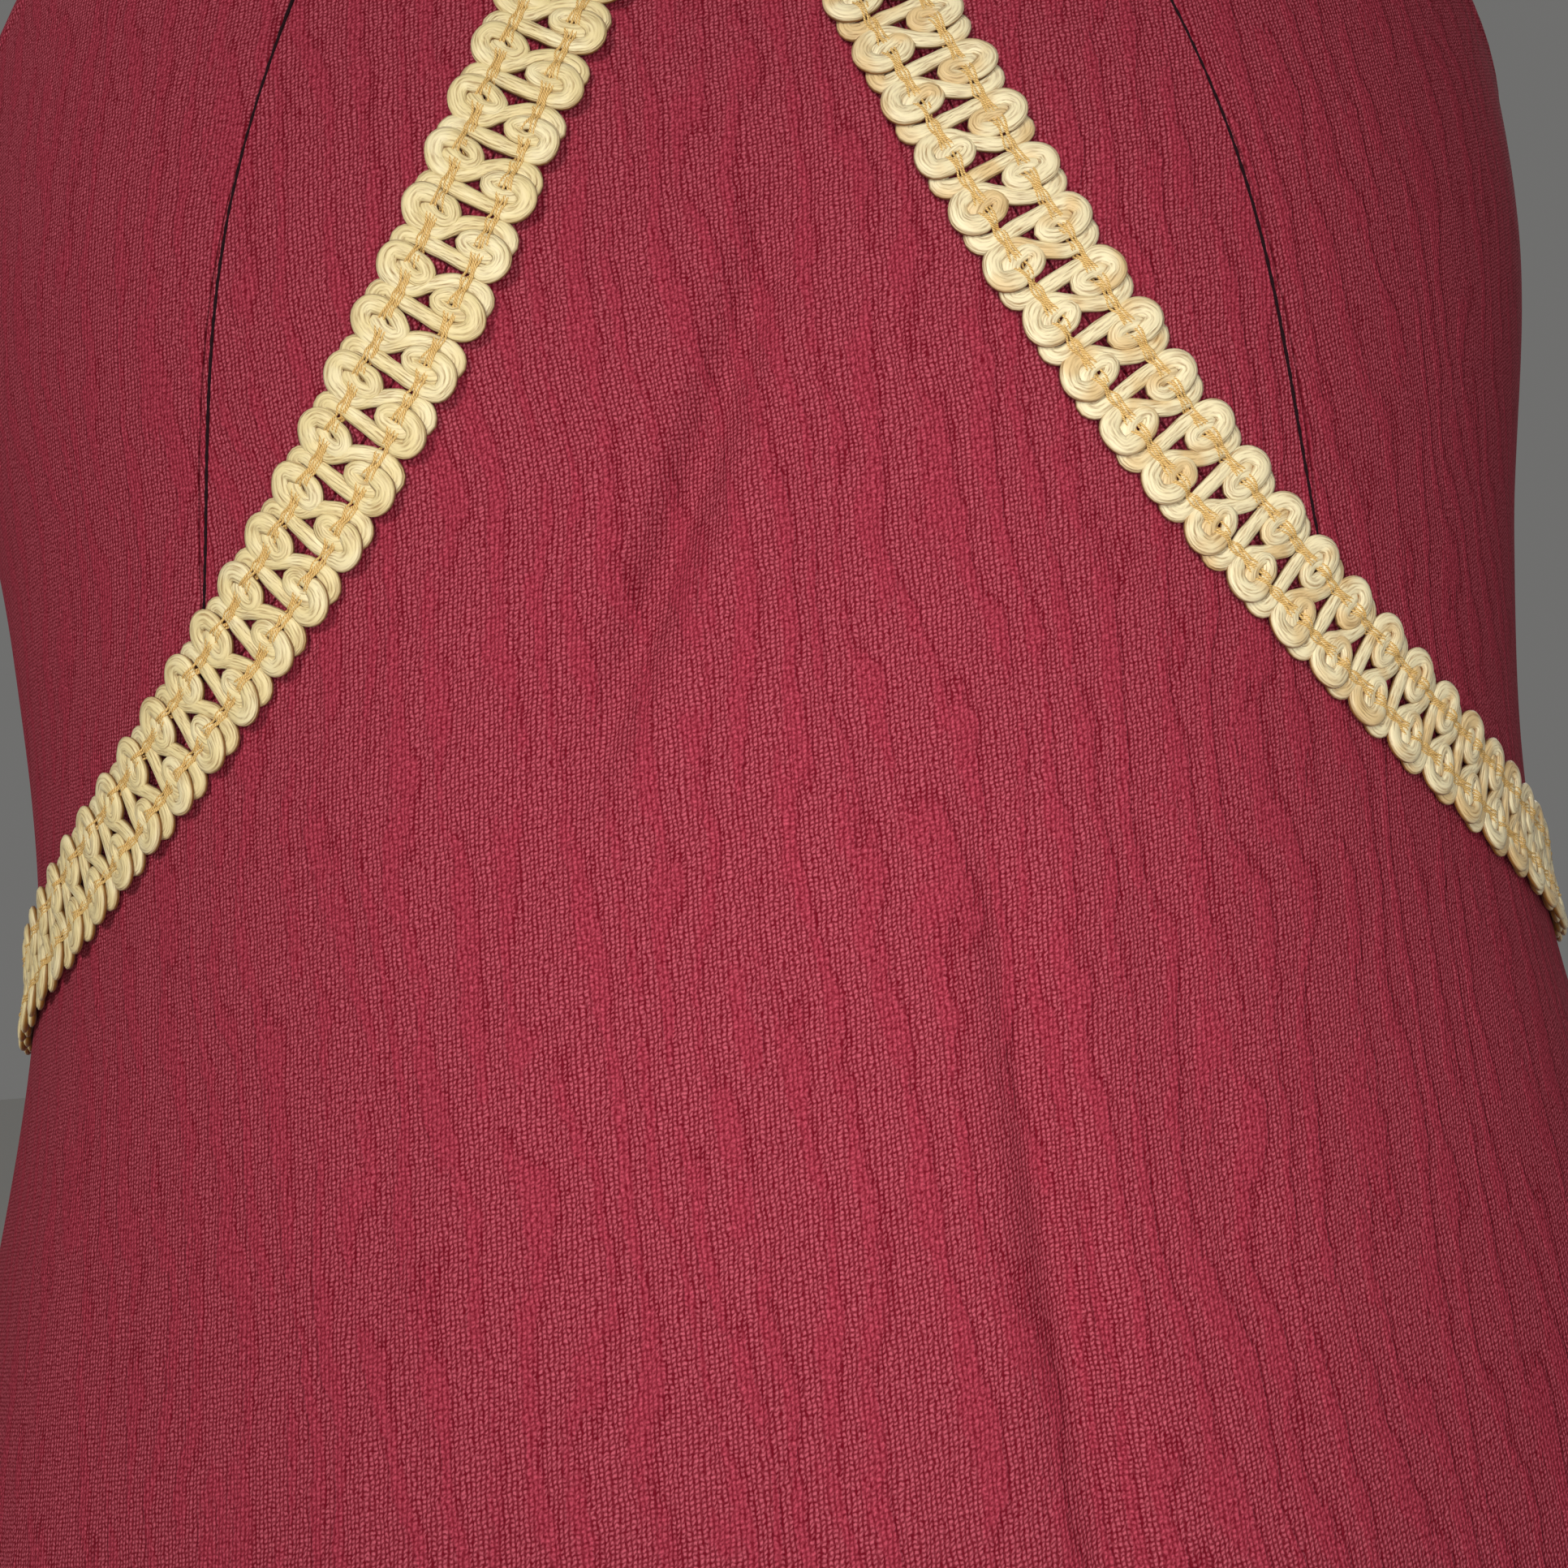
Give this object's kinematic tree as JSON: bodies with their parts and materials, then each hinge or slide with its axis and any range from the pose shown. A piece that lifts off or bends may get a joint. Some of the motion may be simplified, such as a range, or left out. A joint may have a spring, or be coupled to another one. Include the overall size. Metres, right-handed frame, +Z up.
{
  "type": "sarafan dress filled out as worn",
  "caption": "Sleeveless folk dress in burgundy crepe with a raised waist, flared skirt, princess seams, shoulder straps and a gold scroll braid rising to a point at the centre front",
  "frame": {"origin": "on the dress's mid-plane, at the height of the wearer's shoulders, midway between the straps' tops", "axes": "+Z up, the front of the dress faces -Y, +X to the viewer's right when seen from the front"},
  "size_m": [0.8515, 0.7555, 1.2205],
  "materials": {
    "burgundy_crepe": "matt polyester crepe knit, finely ribbed lengthwise",
    "gold_satin_cord": "satin rayon cord bound with fine thread"
  },
  "bodies": {
    "root": {"skirt_front": "burgundy_crepe", "skirt_back": "burgundy_crepe", "bodice_front_centre": "burgundy_crepe", "bodice_front_side_left": "burgundy_crepe", "bodice_front_side_right": "burgundy_crepe", "bodice_back": "burgundy_crepe", "strap_left": "burgundy_crepe", "strap_right": "burgundy_crepe", "braid_left": "gold_satin_cord", "braid_right": "gold_satin_cord"}
  },
  "joints": []
}
